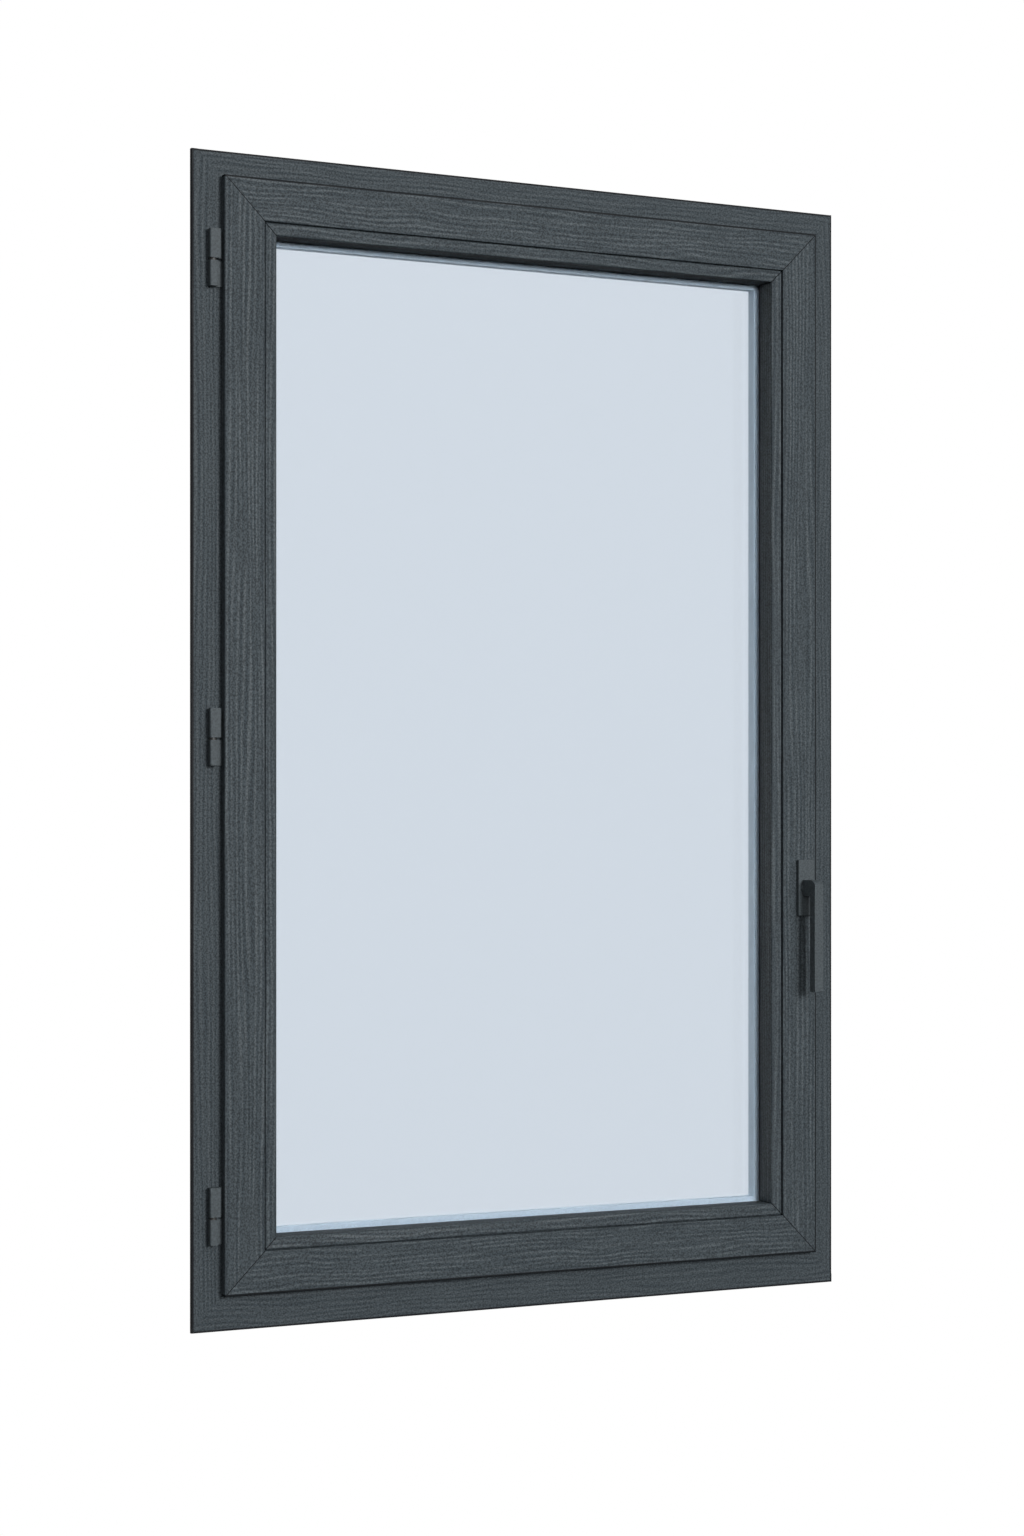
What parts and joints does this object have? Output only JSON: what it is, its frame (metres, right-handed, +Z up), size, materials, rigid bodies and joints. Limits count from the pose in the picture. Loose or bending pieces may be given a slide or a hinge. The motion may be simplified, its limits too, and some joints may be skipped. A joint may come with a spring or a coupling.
{
  "type": "casement window",
  "caption": "Side-hung casement window: slim flanged frame, sash on butt hinges with beaded double glazing, and a lever handle that drives a multi-point lock.",
  "frame": {"origin": "middle of the flange's bottom edge, on the plane of the flange's back face, which laps the wall", "axes": "+Z up, +Y from the room to the outside, +X towards the handle side as seen from the room"},
  "size_m": [0.8, 0.1168, 1.25],
  "materials": {
    "anthracite_foil": "wood-grain embossed foil, satin",
    "painted_zinc": "satin powder coat",
    "zinc_plated_steel": "zinc plated",
    "black_seal": "matt",
    "grey_plastic": "matt",
    "clear_glass": "clear",
    "spacer_aluminium": "satin blue-grey",
    "edge_sealant": "matt",
    "packer_plastic": "satin",
    "bush_plastic": "matt"
  },
  "bodies": {
    "frame": {"hinge_jamb": "anthracite_foil", "lock_jamb": "anthracite_foil", "frame_head": "anthracite_foil", "frame_sill": "anthracite_foil", "drain_caps": "grey_plastic", "frame_jamb_steels": "zinc_plated_steel", "frame_rail_steels": "zinc_plated_steel", "frame_seal": "black_seal", "bottom_hinge_frame_leaf": "painted_zinc", "middle_hinge_frame_leaf": "painted_zinc", "top_hinge_frame_leaf": "painted_zinc", "hinge_pins": "zinc_plated_steel", "hinge_washers": "bush_plastic", "frame_leaf_screws": "zinc_plated_steel", "strikers": "zinc_plated_steel", "striker_screws": "zinc_plated_steel"},
    "sash": {"hinge_stile": "anthracite_foil", "lock_stile": "anthracite_foil", "sash_top_rail": "anthracite_foil", "sash_bottom_rail": "anthracite_foil", "sash_stile_steels": "zinc_plated_steel", "sash_rail_steels": "zinc_plated_steel", "sash_seal": "black_seal", "bead_hinge_side": "anthracite_foil", "bead_lock_side": "anthracite_foil", "bead_top": "anthracite_foil", "bead_bottom": "anthracite_foil", "inner_pane": "clear_glass", "outer_pane": "clear_glass", "spacer_bar": "spacer_aluminium", "edge_sealant": "edge_sealant", "bead_gasket": "black_seal", "outer_glazing_gasket": "black_seal", "glazing_blocks": "packer_plastic", "bottom_hinge_sash_leaf": "painted_zinc", "middle_hinge_sash_leaf": "painted_zinc", "top_hinge_sash_leaf": "painted_zinc", "sash_leaf_screws": "zinc_plated_steel", "rosette_base": "zinc_plated_steel", "rosette_cap": "painted_zinc", "handle_bolts": "zinc_plated_steel", "gearbox_case": "zinc_plated_steel", "gearbox_cover": "zinc_plated_steel", "faceplate": "zinc_plated_steel", "faceplate_screws": "zinc_plated_steel"},
    "handle": {"handle_lever": "painted_zinc", "spindle": "zinc_plated_steel", "grub_screw": "zinc_plated_steel", "pinion": "zinc_plated_steel"},
    "drive": {"rack_carriage": "zinc_plated_steel", "upper_drive_rail": "zinc_plated_steel", "lower_drive_rail": "zinc_plated_steel", "rail_rivets": "zinc_plated_steel", "roller_cams": "zinc_plated_steel"}
  },
  "joints": [
    {"name": "sash_swing", "type": "hinge", "parent": "frame", "child": "sash", "pos_m": [-0.3783, -0.0102, 0.6273], "axis": [0, 0, -1], "range_deg": [0, 100]},
    {"name": "handle_turn", "type": "hinge", "parent": "sash", "child": "handle", "pos_m": [0.3553, -0.04, 0.4627], "axis": [0, 1, 0], "range_deg": [0, 90]},
    {"name": "drive_slide", "type": "slide", "parent": "sash", "child": "drive", "axis": [0, 0, 1], "range_m": [0, 0.01257]}
  ],
  "couplings": [
    {"joint": "drive_slide", "follows": "handle_turn", "m_per_rad": 0.008}
  ]
}
